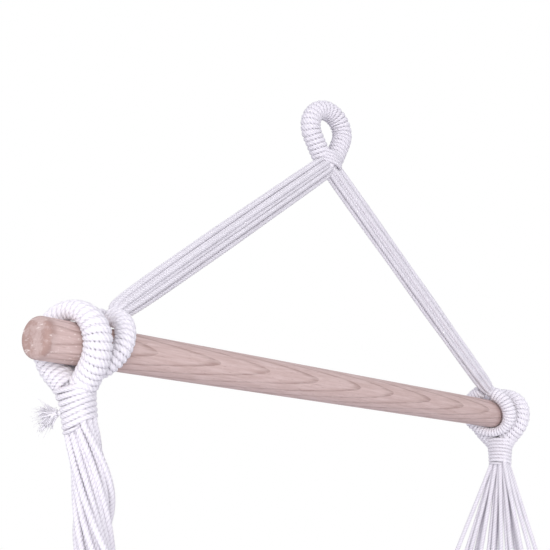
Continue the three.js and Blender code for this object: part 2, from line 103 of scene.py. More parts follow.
# Top eye and its neck
EYE_CENTRE = np.array([0, 0, -0.014])
EYE_TWIST = math.radians(13)
EYE_RADIUS = 0.02725
EYE_TUBE_RADIUS = 0.01325
EYE_LEGS_DROP = 0.058
EYE_BARE_LEG = 0.019
EYE_TURNS = 29
EYE_CORE_TRIM = 0.012
NECK_HEIGHT = 0.011
NECK_DEPTH = 0.016
NECK_RADII = (0.0125, 0.0138, 0.0118, 0.003)
NECK_RADII_SHARES = (0, 0.45, 0.7, 1)
SADDLE_RISE = 0.017
SADDLE_HEIGHT = 0.019
SADDLE_TURNS = 4.3
SADDLE_WIDE_RADII = (0.0235, 0.02, 0.0185)
SADDLE_WIDE_SHARES = (0, 0.45, 1)
SADDLE_DEEP_RADII = (0.0165, 0.0175)
SADDLE_SLANT = 0.28
SADDLE_SLANT_WAY = np.array([0.62, -0.79])

# Arms. Each flare share is a share of the way up, with how far the spread has opened there
ARM_CORDS = 8
ARM_INNER_CIRCLE_CORDS = 8
ARM_INNER_REACH_SHARE = 0.72
ARM_TIGHT_SPREAD = 0.0185
ARM_WIDE_SPREAD = 0.026
ARM_DEEP_SPREAD = 0.017
ARM_FLARE_SHARES = ((0.12, 0.6), (0.4, 0.9), (0.6, 1), (0.8, 1), (0.93, 1))
ARM_FORWARD = 0.007
ARM_START_INSIDE = 0.006
ARM_TOP_GAP = 0.014

# Rings round the bar at the arms' ends
RING_TUBE_RADIUS = 0.0105
RING_CROWN_RADIUS = 0.007
RING_BARE_LEG = 0.005
RIGHT_RING_BARE_FRONT = 0.016
RING_LEGS_DROP = 0.037
RING_TILT = math.radians(20)
RING_TURNS = 38
RING_STEM_LENGTH = 0.01
RING_CORE_TRIM = 0.004
RING_CORE_INSET = 0.0035

# Loops that carry the harness. The neck's slant shares are places on the way down, and its slant there
LOOP_TUBE_RADIUS = 0.014
LOOP_CROWN_RADIUS = 0.01
LOOP_LEGS_DROP = 0.05
LOOP_LEG_OVERLAP = 0.002
LOOP_TURNS = 33
LOOP_CORE_TRIM = 0.01
LOOP_STEM_RADIUS = 0.0115
LOOP_STEM_LENGTH = 0.027
LOOP_NECK_TURNS = 7.6
LOOP_NECK_RISE = 0.012
LOOP_NECK_COVER = 0.0055
LOOP_NECK_WIDE_FLARE = 0.0005
LOOP_NECK_WIDE_SHARES = (0, 0.4, 1)
LOOP_NECK_DEEP_FLARE = 0.0007
LOOP_NECK_DEEP_SHARES = (0, 0.3, 0.6, 1)
LOOP_THROAT_REACH = 0.0275
LOOP_SHOULDER_REACH = 0.0192
LEFT_NECK_SLANT = 0.36
NECK_SLANT_SHARES = ((0, 0.5, 1), (0.2, 1, 1))
VIEW_RIGHT = np.array([0.617, -0.787])

# Harness. The last places are those of the cords between the others
HARNESS_LEAN = math.radians(9)
HARNESS_COLUMNS = 4
HARNESS_ROWS = 3
HARNESS_CORDS = HARNESS_COLUMNS * HARNESS_ROWS
HARNESS_PLACES = [(column, row) for column in range(HARNESS_COLUMNS) for row in range(HARNESS_ROWS)]
HARNESS_PLACES += [
    (column + 0.5, row + 0.5) for column in range(HARNESS_COLUMNS - 1) for row in range(HARNESS_ROWS - 1)
]
HARNESS_PITCH = 0.0072
HARNESS_CORD_DIAMETER = 0.0066
HARNESS_INSIDE_NECK = 0.018
CORD_BOW = 0.002
LEFT_BUNCH_SHARE = 1
RIGHT_BUNCH_SHARE = 0
BUNCH_PLACE_SHARE = 0.45
BUNCH_LEAN = 0.04
BUNDLE_TWIST_SHARE = 0.27
BUNDLE_TWIST_POWER = 1.5
BUNDLE_SWELL_SHARE = 0.6
BUNDLE_REACH = 0.0125
BUNDLE_ROUNDING_SHARE = 0.3
HITCH_TURNS = 2.2
HITCH_REACH_SHARE = 0.85
HITCH_DEPTH_SHARE = 0.45

# Frayed tail
TAIL_RISE = 0.015
TAIL_REACH = 0.0045
TAIL_STUB_LENGTH = 0.005
TAIL_STUB_RADIUS = 0.0026
TAIL_LOCKS = 75
TAIL_LOCK_RADIUS = 0.0014
TAIL_LOCK_LEAN = 0.4
TAIL_LOCK_LENGTHS = (0.008, 0.018)
TAIL_FIBRES = 130
TAIL_FIBRE_RADIUS = 0.00033
TAIL_FIBRE_LEAN = 0.55
TAIL_FIBRE_LENGTHS = (0.014, 0.025)
TAIL_TAPER_SHARE = 0.6
TAIL_STRAND_LAY = 0.02
TAIL_CURL = 0.0006
TAIL_DROOP = 0.007
TAIL_ROOT_DEPTH = 0.0015
TAIL_ROOT_SPREAD = 0.0012

# Seat. Its front, middle and back say how far from the bar its side edge lies, level and down
EDGE_ROPE_RADIUS = 0.004
EDGE_ROPE_LAY = 0.024
SEAT_FRONT = (0.3, 0.87)
SEAT_MIDDLE = (0.08, 1.0)
SEAT_BACK = (0.3, 0.6)
CLOTH_WIDTH = 0.85
CLOTH_LENGTH_SHARE = 1.15
CLOTH_THICKNESS = 0.0022
CLOTH_EDGE_GAP = 0.001
CLOTH_COLUMNS = 96
CLOTH_ROWS = 120
WEAVE_PITCH = 0.0022
FOLD_DEPTH = 0.009
FOLDS = 4
RIPPLE_DEPTH = 0.0022
SAG_OUTWARD_SHARE = 0.6
LACING_PITCH = 0.022
LACING_RADIUS = 0.0013
LACING_LAY = 0.006
LACING_TRIM = 0.004
LACING_REACHES = (0.0068, 0.0095)
LACING_INWARD = 0.004
HEM_RADIUS = 0.0042
HEM_LAY = 2.0
HEM_CLOTH_PER_PLY = 0.009

# Colours of the cotton: the LIT colours on the plies, and the SHADE colours, which are painted shade in
# the grooves between plies and turns. COTTON_SHADE is also the cloth's darker weave and slubs
CORD_LIT = (0.91, 0.885, 0.935, 1)
WRAP_LIT = (0.92, 0.895, 0.94, 1)
# Darker than WRAP_LIT: painted shade on the top eye, the saddle and the neck
EYE_LIT_DARKENED_FOR_SHADE = (0.83, 0.805, 0.855, 1)
LOOSE_LIT = (0.88, 0.86, 0.9, 1)
CLOTH_LIT = (0.87, 0.84, 0.89, 1)
COTTON_SHADE = (0.66, 0.62, 0.69, 1)
WRAP_SHADE = (0.73, 0.69, 0.76, 1)
LOOSE_SHADE = (0.84, 0.82, 0.86, 1)

# Camera and stage
CAMERA_PLACE = (-1.10752, -0.76073, -0.54614)
CAMERA_TURN_DEGREES = (104.2389, 1.7971, -51.9467)
CAMERA_LENS = 72
CAMERA_SENSOR = 36
FLOOR_HEIGHT = -1.95
FLOOR_REACH = 30
LAMP_TARGET = (0, 0, -0.5)
WORLD_STRENGTH = 0.78


def unit(vectors):
    return vectors / np.linalg.norm(vectors, axis=-1, keepdims=True)


class Line:
    """A line through points, measured along its length."""

    def __init__(self, points):
        self.points = np.asarray(points, float)
        pieces = np.linalg.norm(np.diff(self.points, axis=0), axis=1)
        self.along = np.concatenate([[0], np.cumsum(pieces)])
        self.length = float(self.along[-1])

    def at(self, along):
        columns = [np.interp(along, self.along, self.points[:, k]) for k in range(3)]
        return np.stack(columns, axis=-1)

    def tangent(self, along, near=0.0004):
        ahead = np.minimum(along + near, self.length)
        behind = np.maximum(along - near, 0)
        return unit(self.at(ahead) - self.at(behind))


def rounded(points, times=5):
    """The points with their corners cut off again and again."""
    points = np.asarray(points, float)
    for _ in range(times):
        first, second = points[:-1], points[1:]
        cuts = [first * 0.75 + second * 0.25, first * 0.25 + second * 0.75]
        inner = np.stack(cuts, 1).reshape(-1, 3)
        points = np.concatenate([points[:1], inner, points[-1:]])
    return points


def bezier(start, bend, end, count=400):
    share = np.linspace(0, 1, count)[:, None]
    return start * (1 - share) ** 2 + bend * 2 * share * (1 - share) + end * share**2


def circle_shares(count, first, reach):
    """Places on a circle, as shares of a radius. first says where the first one is, in steps."""
    angles = [(index + first) / count * 2 * math.pi for index in range(count)]
    return [(reach * math.cos(angle), reach * math.sin(angle)) for angle in angles]


def turned(*angles):
    """A 3 by 3 matrix from turns such as ("Z", 0.2), the last of which comes first."""
    made = np.eye(3)
    for axis, angle in angles:
        made = made @ np.array(Euler([angle if a == axis else 0 for a in "XYZ"]).to_matrix())
    return made


def in_scene(name, data):
    """A new object in the scene."""
    made = bpy.data.objects.new(name, data)
    bpy.context.scene.collection.objects.link(made)
    return made


def add_object(name, mesh, material, body, replaces=()):
    piece = in_scene(name, mesh)
    mesh.materials.clear()
    mesh.materials.append(material)
    if body:
        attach(piece, body)
    if replaces:
        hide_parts(*replaces)
    return piece


def grid_mesh(name, columns, rows):
    """A flat square grid with a UV map, and the shares across and along of its points."""
    sheet = bmesh.new()
    sheet.loops.layers.uv.new("UVMap")
    bmesh.ops.create_grid(sheet, x_segments=columns, y_segments=rows, size=0.5, calc_uvs=True)
    mesh = bpy.data.meshes.new(name)
    sheet.to_mesh(mesh)
    sheet.free()
    flat = np.zeros(len(mesh.vertices) * 3)
    mesh.vertices.foreach_get("co", flat)
    flat = flat.reshape(-1, 3)
    return mesh, flat[:, 0] + 0.5, flat[:, 1] + 0.5


def rolled_sheet(name, rows, columns, place):
    """A mesh from a flat grid that place rolls into a closed tube, with its ends capped.

    place takes the share round and the share along of every point, and gives their places."""
    mesh, around, along = grid_mesh(name, columns, rows)
    mesh.vertices.foreach_set("co", place(around, along).ravel())
    sheet = bmesh.new()
    sheet.from_mesh(mesh)
    bmesh.ops.remove_doubles(sheet, verts=sheet.verts, dist=1e-6)
    bmesh.ops.holes_fill(sheet, edges=sheet.edges, sides=0)
    bmesh.ops.recalc_face_normals(sheet, faces=sheet.faces)
    sheet.to_mesh(mesh)
    sheet.free()
    mesh.shade_smooth()
    return mesh


def stretch_uv(mesh, around, along):
    """Scales a mesh's UV map, so that its pattern keeps its size."""
    layer = mesh.uv_layers[0].uv
    places = np.zeros(len(layer) * 2, np.float32)
    layer.foreach_get("vector", places)
    places = places.reshape(-1, 2) * (around, along)
    layer.foreach_set("vector", places.astype(np.float32).ravel())


def cord_mesh(
    name, centres, outward, depth, width,
    lay=CORD_LAY, plies=CORD_PLIES, phase=0.0, groove=PLY_GROOVE_SHARE,
):
    """A twisted cord along centres. outward points away from what it lies on.

    depth and width are its half thickness that way and across, a number or one for each centre."""
    line = Line(centres)
    steps = max(int(line.length / lay * STEPS_PER_LAY), 2)
    stations = np.linspace(0, line.length, steps + 1)

    def spread(values):
        return np.interp(stations, line.along, np.broadcast_to(values, line.along.shape))

    middle = line.at(stations)
    forward = line.tangent(stations)
    out = np.stack([spread(outward[..., k]) for k in range(3)], axis=-1)
    out = unit(out - (out * forward).sum(1)[:, None] * forward)
    across = np.cross(forward, out)
    depths, widths = spread(depth), spread(width)

    def place(around, along):
        row = np.rint(along * steps).astype(int)
        angle = around * 2 * math.pi
        radius = 1 - groove * (1 - np.abs(np.cos(angle * plies / 2)))
        angle = angle + phase + stations[row] / lay * 2 * math.pi
        high = (radius * np.cos(angle) * depths[row])[:, None]
        wide = (radius * np.sin(angle) * widths[row])[:, None]
        return middle[row] + high * out[row] + wide * across[row]

    mesh = rolled_sheet(name, steps, plies * SIDES_PER_PLY, place)
    stretch_uv(mesh, plies, line.length / lay)
    return mesh


def joined(name, meshes):
    """Several meshes as one."""
    whole = bmesh.new()
    for mesh in meshes:
        whole.from_mesh(mesh)
        bpy.data.meshes.remove(mesh)
    mesh = bpy.data.meshes.new(name)
    whole.to_mesh(mesh)
    whole.free()
    mesh.shade_smooth()
    return mesh


def eye_curve(radius, height, legs_drop):
    """The centreline of a rope eye in the XZ plane: a crown about the origin and two straight legs."""
    lean = math.asin(radius / legs_drop)
    angle = np.linspace(math.pi + lean, -lean, 181)
    rise = np.where(np.sin(angle) > 0, height, radius)
    crown = np.stack([radius * np.cos(angle), 0 * angle, rise * np.sin(angle)], axis=-1)
    foot = np.array([[0, 0, -legs_drop]])
    legs = [foot + (end - foot) * np.linspace(0, 1, 40)[:, None] for end in (crown[0], crown[-1])]
    return Line(np.concatenate([legs[0][:-1], crown, legs[1][-2::-1]]))


def tube_radius_at(points, height, tube, crown):
    """The radius of an eye's tube, which goes from tube at its legs to crown at its top."""
    lift = np.clip(points[:, 2] / height, 0, None)
    return tube + (crown - tube) * lift**2


def wound_path(line, start, stop, turns, radius_at, steps_per_turn=36, depth=WRAP_DEPTH, normal=Y_WAY):
    """The centres, outward directions and half widths of a cord wound round a line in a plane.

    radius_at gives one radius for each centre, or two: in the plane and along its normal."""
    pitch = (stop - start) / turns

    def place(along, phase):
        along = np.clip(along, 0, line.length)
        centre = line.at(along)
        outward = unit(np.cross(line.tangent(along), normal))
        radius = radius_at(centre)
        wide, deep = radius if isinstance(radius, tuple) else (radius, radius)
        radial = outward * np.cos(phase)[:, None] + normal * np.sin(phase)[:, None]
        from_end = np.minimum(phase, turns * 2 * math.pi - phase)
        inset = depth + TUCK_DEPTH * (1 - np.clip(from_end / TUCK_ANGLE, 0, 1)) ** 2
        in_plane = outward * (np.cos(phase) * (wide - inset))[:, None]
        off_plane = normal * (np.sin(phase) * (deep - inset))[:, None]
        return centre + (in_plane + off_plane), radial

    share = np.linspace(0, 1, int(turns * steps_per_turn) + 1)
    along, phase = start + (stop - start) * share, turns * share * 2 * math.pi
    centres, radial = place(along, phase)
    ahead, behind = place(along + pitch / 2, phase)[0], place(along - pitch / 2, phase)[0]
    return centres, radial, np.linalg.norm(ahead - behind, axis=1) / 2 * TURN_OVERLAP_SHARE


def winding_mesh(name, centres, radial, widths):
    return cord_mesh(name, centres, radial, WRAP_DEPTH, widths, groove=WRAP_GROOVE_SHARE)


def wound_cord(name, line, start, stop, turns, radius_at, place, material, body, replaces):
    """A cord wound round a line that place then turns and moves."""
    turn, offset = place
    centres, radial, widths = wound_path(line, start, stop, turns, radius_at)
    mesh = winding_mesh(name, centres @ turn.T + offset, radial @ turn.T, widths)
    add_object(name, mesh, material, body, replaces)


def core_bundle(name, line, trim, inset, radius_at, place, body, replaces):
    """The bundle inside a winding, a thick rope of six strands that ends trim before the line does."""
    turn, offset = place
    along = np.linspace(trim, line.length - trim, 160)
    centres = line.at(along)
    outward = np.cross(line.tangent(along), Y_WAY)
    radius = radius_at(centres) - inset
    centres = centres @ turn.T + offset
    mesh = cord_mesh(name, centres, outward @ turn.T, radius, radius, lay=CORE_LAY, plies=CORE_PLIES)
    add_object(name, mesh, cord_cotton, body, replaces)


def laid_cord(name, points, outward, body, replaces, index, diameter=CORD_DIAMETER):
    """A twisted cord along points with a slight wobble, and the route that it takes."""
    line = Line(points)
    along = np.linspace(0, line.length, max(int(line.length / ROUTE_STEP), 12))
    route = line.at(along)
    wobble = WOBBLE * np.sin(along / WOBBLE_LENGTH + index * WOBBLE_PHASE_STEP)[:, None]
    route = route + wobble * outward * np.sin(along / line.length * math.pi)[:, None]
    outward = np.tile(outward, (len(route), 1))
    mesh = cord_mesh(name, route, outward, diameter / 2, diameter / 2, phase=index * CORD_PHASE_STEP)
    return add_object(name, mesh, cord_cotton, body, replaces), route


def node(tree, kind, **settings):
    made = tree.nodes.new(kind)
    for name, value in settings.items():
        if name in made.inputs:
            made.inputs[name].default_value = value
        else:
            setattr(made, name, value)
    return made


def math_node(tree, operation, first, second=None):
    made = tree.nodes.new("ShaderNodeMath")
    made.operation = operation
    for socket, value in zip(made.inputs, (first, second)):
        if isinstance(value, bpy.types.NodeSocket):
            tree.links.new(value, socket)
        elif value is not None:
            socket.default_value = value
    return made.outputs[0]


def plus(tree, first, second):
    return math_node(tree, "ADD", first, second)


def minus(tree, first, second):
    return math_node(tree, "SUBTRACT", first, second)


def times(tree, first, second):
    return math_node(tree, "MULTIPLY", first, second)


def mixed_colour(tree, share, first, second):
    made = tree.nodes.new("ShaderNodeMix")
    made.data_type = "RGBA"
    for name, value in (("Factor_Float", share), ("A_Color", first), ("B_Color", second)):
        socket = next(s for s in made.inputs if s.identifier == name)
        if isinstance(value, bpy.types.NodeSocket):
            tree.links.new(value, socket)
        else:
            socket.default_value = value
    return next(s for s in made.outputs if s.identifier == "Result_Color")


def ramp(tree, value, low, high):
    """A smooth step of value from low to high."""
    made = node(tree, "ShaderNodeMapRange", interpolation_type="SMOOTHSTEP")
    tree.links.new(value, made.inputs["Value"])
    made.inputs["From Min"].default_value = low
    made.inputs["From Max"].default_value = high
    return made.outputs["Result"]


def yarn_group():
    """Cotton yarn on a cord's UV map: plies round it, threads along each ply, painted shade in the
    grooves.
    """
    tree = bpy.data.node_groups.new("Cotton yarn", "ShaderNodeTree")
    for name, way, kind in (
        ("UV", "INPUT", "NodeSocketVector"),
        ("Lit", "INPUT", "NodeSocketColor"),
        ("Groove", "INPUT", "NodeSocketColor"),
        ("Threads", "INPUT", "NodeSocketFloat"),
        ("Patches", "INPUT", "NodeSocketFloat"),
        ("Colour", "OUTPUT", "NodeSocketColor"),
        ("Height", "OUTPUT", "NodeSocketFloat"),
    ):
        tree.interface.new_socket(name, in_out=way, socket_type=kind)
    given = tree.nodes.new("NodeGroupInput")
    result = tree.nodes.new("NodeGroupOutput")
    split = tree.nodes.new("ShaderNodeSeparateXYZ")
    tree.links.new(given.outputs["UV"], split.inputs[0])
    around, along = split.outputs[0], split.outputs[1]

    ply = math_node(tree, "ABSOLUTE", math_node(tree, "COSINE", times(tree, around, math.pi)))
    slant = plus(tree, times(tree, around, 7), times(tree, along, 9))
    threads = math_node(tree, "SINE", times(tree, slant, 2 * math.pi))
    stretched = tree.nodes.new("ShaderNodeCombineXYZ")
    tree.links.new(times(tree, around, 9), stretched.inputs[0])
    tree.links.new(times(tree, along, 5), stretched.inputs[1])
    fuzz = node(tree, "ShaderNodeTexNoise", Scale=1.6, Detail=3)
    tree.links.new(stretched.outputs[0], fuzz.inputs["Vector"])
    object_place = tree.nodes.new("ShaderNodeTexCoord").outputs["Object"]
    patches = node(tree, "ShaderNodeTexNoise", Scale=55, Detail=2)
    tree.links.new(object_place, patches.inputs["Vector"])

    # Painted shade: the valleys between the plies are mixed towards the Groove colour
    groove = minus(tree, 1, ramp(tree, ply, 0.0, 0.55))
    spread = times(tree, ramp(tree, patches.outputs[0], 0.35, 0.75), given.outputs["Patches"])
    lines = times(tree, times(tree, threads, 0.05), given.outputs["Threads"])
    shade = plus(tree, plus(tree, times(tree, groove, 0.6), spread), lines)
    shade = math_node(tree, "MINIMUM", math_node(tree, "MAXIMUM", shade, 0), 1)
    colour = mixed_colour(tree, shade, given.outputs["Lit"], given.outputs["Groove"])
    tree.links.new(colour, result.inputs["Colour"])
    rough = times(tree, minus(tree, fuzz.outputs[0], 0.5), 0.8)
    height = plus(tree, times(tree, threads, given.outputs["Threads"]), rough)
    tree.links.new(height, result.inputs["Height"])
    return tree


def plain_material(name, roughness, sheen=0.0):
    material = bpy.data.materials.new(name)
    material.use_nodes = True
    shader = material.node_tree.nodes["Principled BSDF"]
    shader.inputs["Roughness"].default_value = roughness
    shader.inputs["Sheen Weight"].default_value = sheen
    shader.inputs["Specular IOR Level"].default_value = 0.25
    return material, material.node_tree, shader


def add_bump(tree, shader, height, strength, distance):
    bump = node(tree, "ShaderNodeBump", Strength=strength, Distance=distance)
    tree.links.new(height, bump.inputs["Height"])
    tree.links.new(bump.outputs[0], shader.inputs["Normal"])


def yarn_material(name, group, lit, groove, threads, patches):
    material, tree, shader = plain_material(name, 0.92, sheen=0.25)
    yarn = tree.nodes.new("ShaderNodeGroup")
    yarn.node_tree = group
    tree.links.new(tree.nodes.new("ShaderNodeTexCoord").outputs["UV"], yarn.inputs["UV"])
    yarn.inputs["Lit"].default_value = lit
    yarn.inputs["Groove"].default_value = groove
    yarn.inputs["Threads"].default_value = threads
    yarn.inputs["Patches"].default_value = patches
    tree.links.new(yarn.outputs["Colour"], shader.inputs["Base Color"])
    add_bump(tree, shader, yarn.outputs["Height"], 0.45, 0.0003)
    return material


def beech_material():
    """Plain sanded beech: growth rings that the bar's surface cuts into arches, pale scuff marks that grow
    into a painted highlight near the ends, and short pores.
    """
    material, tree, shader = plain_material("Sanded beech", 0.6)
    place = tree.nodes.new("ShaderNodeTexCoord").outputs["Object"]
    split = tree.nodes.new("ShaderNodeSeparateXYZ")
    tree.links.new(place, split.inputs[0])
    along, back, up = split.outputs

    def noise(scale, detail, roughness=0.5):
        stretched = node(tree, "ShaderNodeMapping", Scale=scale)
        tree.links.new(place, stretched.inputs["Vector"])
        made = node(tree, "ShaderNodeTexNoise", Scale=1.0, Detail=detail, Roughness=roughness)
        tree.links.new(stretched.outputs[0], made.inputs["Vector"])
        return made.outputs[0]

    behind_heart = plus(tree, back, HEART_FORWARD)
    over_heart = plus(tree, up, HEART_DROP)
    square = plus(tree, math_node(tree, "POWER", behind_heart, 2), math_node(tree, "POWER", over_heart, 2))
    phase = times(tree, math_node(tree, "SQRT", square), RINGS_PER_METRE)
    phase = plus(tree, phase, times(tree, along, RINGS_PER_METRE_ALONG))
    drift = times(tree, noise((5, 14, 14), 2), 0.6)
    wiggle = times(tree, noise((35, 130, 130), 2), 0.16)
    phase = plus(tree, plus(tree, phase, RINGS_PHASE), plus(tree, drift, wiggle))
    rings = math_node(tree, "FRACT", phase)
    late = times(tree, ramp(tree, rings, 0.7, 0.97), plus(tree, noise((14, 60, 60), 2), 0.1))
    from_middle = math_node(tree, "ABSOLUTE", along)
    sides = minus(tree, 1, ramp(tree, from_middle, END_GRAIN_FROM, END_GRAIN_TO))
    late = times(tree, late, sides)

    fibre = noise((26, 420, 420), 4, 0.65)
    patches = noise((24, 60, 60), 3, 0.6)
    pore = ramp(tree, noise((95, 900, 900), 1), 0.66, 0.76)
    blotch = ramp(tree, noise((90, 75, 75), 3, 0.7), 0.4, 0.62)
    blotch = times(tree, minus(tree, 1, sides), blotch)
    # Pale scuff marks along the whole bar, made stronger towards the ends as a painted highlight
    scuffs_and_end_highlight = ramp(tree, noise((170, 60, 420), 3, 0.6), 0.6, 0.72)
    end_highlight = ramp(tree, from_middle, END_HIGHLIGHT_FROM, END_HIGHLIGHT_TO)
    scuffs_and_end_highlight = times(tree, scuffs_and_end_highlight, plus(tree, times(tree, end_highlight, 0.65), 0.12))

    colour = mixed_colour(tree, late, (0.58, 0.435, 0.405, 1), (0.24, 0.145, 0.12, 1))
    for share, most, tint in (
        (ramp(tree, patches, 0.35, 0.7), 0.4, (0.5, 0.36, 0.325, 1)),
        (ramp(tree, fibre, 0.4, 0.7), 0.45, (0.73, 0.59, 0.56, 1)),
        (ramp(tree, fibre, 0.5, 0.3), 0.2, (0.42, 0.29, 0.25, 1)),
        (pore, 0.4, (0.32, 0.19, 0.16, 1)),
        (minus(tree, 1, sides), 0.45, (0.42, 0.32, 0.3, 1)),
        (blotch, 0.7, (0.33, 0.2, 0.17, 1)),
        (scuffs_and_end_highlight, 1.0, (0.85, 0.77, 0.74, 1)),
    ):
        colour = mixed_colour(tree, times(tree, share, most), colour, tint)
    tree.links.new(colour, shader.inputs["Base Color"])
    add_bump(tree, shader, minus(tree, times(tree, fibre, 0.5), pore), 0.25, 0.0002)
    rough = plus(tree, times(tree, fibre, 0.2), 0.48)
    tree.links.new(rough, shader.inputs["Roughness"])
    return material


def cloth_material():
    """Plain weave on the cloth's UV map, in which one unit is one metre."""
    material, tree, shader = plain_material("Woven cotton", 0.9, sheen=0.3)
    place = tree.nodes.new("ShaderNodeTexCoord").outputs["UV"]
    split = tree.nodes.new("ShaderNodeSeparateXYZ")
    tree.links.new(place, split.inputs[0])
    turns = 2 * math.pi / WEAVE_PITCH
    warp = math_node(tree, "SINE", times(tree, split.outputs[0], turns))
    weft = math_node(tree, "SINE", times(tree, split.outputs[1], turns))
    over = times(tree, warp, weft)
    slubs = node(tree, "ShaderNodeMapping", Scale=(300, 14, 1))
    tree.links.new(place, slubs.inputs["Vector"])
    slub = node(tree, "ShaderNodeTexNoise", Scale=1.0, Detail=2)
    tree.links.new(slubs.outputs[0], slub.inputs["Vector"])
    shade = plus(tree, times(tree, over, 0.12), ramp(tree, slub.outputs[0], 0.45, 0.75))
    shade = times(tree, plus(tree, shade, 0.15), 0.3)
    colour = mixed_colour(tree, shade, CLOTH_LIT, COTTON_SHADE)
    tree.links.new(colour, shader.inputs["Base Color"])
    add_bump(tree, shader, over, 0.35, 0.0004)
    return material


yarn = yarn_group()
cord_cotton = yarn_material("Twisted cotton cord", yarn, CORD_LIT, COTTON_SHADE, 1.0, 0.18)
wrap_cotton = yarn_material("Wound cotton cord", yarn, WRAP_LIT, WRAP_SHADE, 0.5, 0.12)
# A darker copy of the wound cotton, with darker grooves too: painted shade on the top eye, the saddle and
# the neck
shaded_eye_cotton = yarn_material("Eye's wound cord, darkened as painted shade", yarn, EYE_LIT_DARKENED_FOR_SHADE, COTTON_SHADE, 0.5, 0.12)
loose_cotton = yarn_material("Loose cotton fibre", yarn, LOOSE_LIT, LOOSE_SHADE, 0.1, 0.0)
beech = beech_material()
canvas = cloth_material()


def build_bar():
    """The bar, turned from a circle that is drawn out along X, with rounded ends."""
    bar = bmesh.new()
    made = bmesh.ops.create_circle(bar, cap_ends=True, segments=96, radius=BAR_RADIUS)
    bmesh.ops.rotate(bar, verts=made["verts"], matrix=Euler((0, math.pi / 2, 0)).to_matrix())
    bmesh.ops.translate(bar, verts=made["verts"], vec=(-BAR_LENGTH / 2, 0, 0))
    drawn = bmesh.ops.extrude_face_region(bar, geom=bar.faces[:])
    moved = [part for part in drawn["geom"] if isinstance(part, bmesh.types.BMVert)]
    bmesh.ops.translate(bar, verts=moved, vec=(BAR_LENGTH, 0, 0))
    rims = [edge for edge in bar.edges if abs(edge.verts[0].co.x - edge.verts[1].co.x) < 1e-6]
    bmesh.ops.bevel(
        bar, geom=rims, offset=BAR_END_ROUND, segments=5, profile=0.5, affect="EDGES", material=-1,
    )
    bmesh.ops.translate(bar, verts=bar.verts, vec=bar_middle)
    bmesh.ops.recalc_face_normals(bar, faces=bar.faces)
    mesh = bpy.data.meshes.new("bar_wood")
    bar.to_mesh(mesh)
    bar.free()
    mesh.shade_smooth()
    mesh.set_sharp_from_angle(angle=math.radians(40))
    add_object("bar_wood", mesh, beech, "bar", ["spreader_bar"])


def build_top_eye():
    """The rope eye that the chair hangs from."""
    line = eye_curve(EYE_RADIUS, EYE_RADIUS, EYE_LEGS_DROP)
    place = turned(("Z", -EYE_TWIST)), EYE_CENTRE

    def radius_at(points):
        return np.full(len(points), EYE_TUBE_RADIUS)

    wound_cord(
        "eye_winding", line, EYE_BARE_LEG, line.length - EYE_BARE_LEG, EYE_TURNS, radius_at,
        place, shaded_eye_cotton, "top_eye", ["top_eye_wrap"],
    )
    core_bundle(
        "eye_bundle", line, EYE_CORE_TRIM, CORE_INSET, radius_at, place, "top_eye", ["top_eye_core"],
    )


def build_saddle():
    """Slanted turns over both of the eye's legs, where the arms come out from under them."""
    turn = turned(("Z", -EYE_TWIST))
    top = knot + (0, 0, SADDLE_RISE)
    down = Line([(0, 0, 0), (0, 0, -SADDLE_HEIGHT)])

    def radius_at(points):
        share = -points[:, 2] / SADDLE_HEIGHT
        wide = np.interp(share, SADDLE_WIDE_SHARES, SADDLE_WIDE_RADII)
        return wide, np.interp(share, (0, 1), SADDLE_DEEP_RADII)

    centres, radial, widths = wound_path(down, 0, down.length, SADDLE_TURNS, radius_at)
    centres = centres @ turn.T + top
    centres[:, 2] -= SADDLE_SLANT * (centres[:, :2] @ SADDLE_SLANT_WAY)
    mesh = winding_mesh("neck_saddle", centres, radial @ turn.T, widths)
    saddle = add_object("neck_saddle", mesh, shaded_eye_cotton, None, ["top_neck_wrap"])
    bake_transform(saddle)


def build_neck():
    """The short bundle of cords between the eye's legs and the arms."""
    down = Line([(0, 0, 0), (0, 0, -NECK_HEIGHT - NECK_DEPTH)])
    along = np.linspace(0, down.length, 20)
    centres = down.at(along) + knot + (0, 0, NECK_HEIGHT)
    outward = np.tile(X_WAY, (len(along), 1))
    radii = np.interp(along / down.length, NECK_RADII_SHARES, NECK_RADII)
    mesh = cord_mesh("neck_bundle", centres, outward, radii, radii, lay=CORE_LAY, plies=CORE_PLIES)
    add_object("neck_bundle", mesh, shaded_eye_cotton, "neck", ["top_neck_bundle"])


def build_ring(side, sign, centre, bare_front):
    """The wound ring round the bar at an arm's end. Gives the place inside it where the cords start."""
    radius = (BAR_RADIUS + BAR_CLEARANCE + RING_TUBE_RADIUS) / math.cos(RING_TILT)
    height = (BAR_RADIUS + BAR_CLEARANCE + RING_CROWN_RADIUS) / math.cos(RING_TILT)
    line = eye_curve(radius, height, RING_LEGS_DROP)
    turn = turned(("Y", -sign * RING_TILT), ("X", math.pi), ("Z", -math.pi / 2))
    place = turn, centre

    def radius_at(points):
        return tube_radius_at(points, height, RING_TUBE_RADIUS, RING_CROWN_RADIUS)

    wound_cord(
        side + "_ring_winding", line, bare_front, line.length - RING_BARE_LEG, RING_TURNS, radius_at,
        place, wrap_cotton, "suspension", [side + "_ring_wrap"],
    )
    core_bundle(
        side + "_ring_bundle", line, RING_CORE_TRIM, RING_CORE_INSET, radius_at,
        place, "suspension", [side + "_ring_core"],
    )
    return line.at(bare_front + ARM_START_INSIDE) @ turn.T + centre


